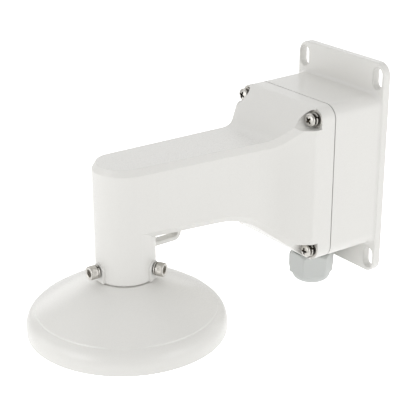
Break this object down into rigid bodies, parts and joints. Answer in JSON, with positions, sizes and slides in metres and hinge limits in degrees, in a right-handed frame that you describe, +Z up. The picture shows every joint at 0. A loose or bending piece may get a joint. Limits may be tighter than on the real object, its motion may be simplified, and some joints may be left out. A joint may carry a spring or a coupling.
{
  "type": "camera wall bracket",
  "caption": "Wall bracket with a junction box, a hollow arm and a round cap that carries a camera, with a cable gland below.",
  "frame": {"origin": "middle of the wall plate's back face", "axes": "+Y into the wall, -Y out along the arm, +Z up, X across the plate"},
  "size_m": [0.1386, 0.2648, 0.176],
  "materials": {
    "white_coat": "satin",
    "screw_steel": "satin",
    "washer_steel": "satin",
    "gland_plastic": "matte",
    "gasket_rubber": "matte",
    "seal_rubber": "matte"
  },
  "bodies": {
    "root": {"junction_box": "white_coat", "arm_casting": "white_coat", "mounting_cap": "white_coat", "box_gasket": "gasket_rubber", "cover_screw_1": "screw_steel", "cover_screw_2": "screw_steel", "cover_screw_3": "screw_steel", "cover_screw_4": "screw_steel", "spring_washer_1": "washer_steel", "spring_washer_2": "washer_steel", "spring_washer_3": "washer_steel", "spring_washer_4": "washer_steel", "flat_washer_1": "washer_steel", "flat_washer_2": "washer_steel", "flat_washer_3": "washer_steel", "flat_washer_4": "washer_steel", "neck_screw_1": "screw_steel", "neck_screw_2": "screw_steel", "neck_screw_3": "screw_steel", "neck_washer_1": "washer_steel", "neck_washer_2": "washer_steel", "neck_washer_3": "washer_steel", "gland_body": "gland_plastic", "gland_nut": "gland_plastic", "gland_locknut": "gland_plastic", "gland_seal": "seal_rubber", "gland_ring": "seal_rubber"}
  },
  "joints": []
}
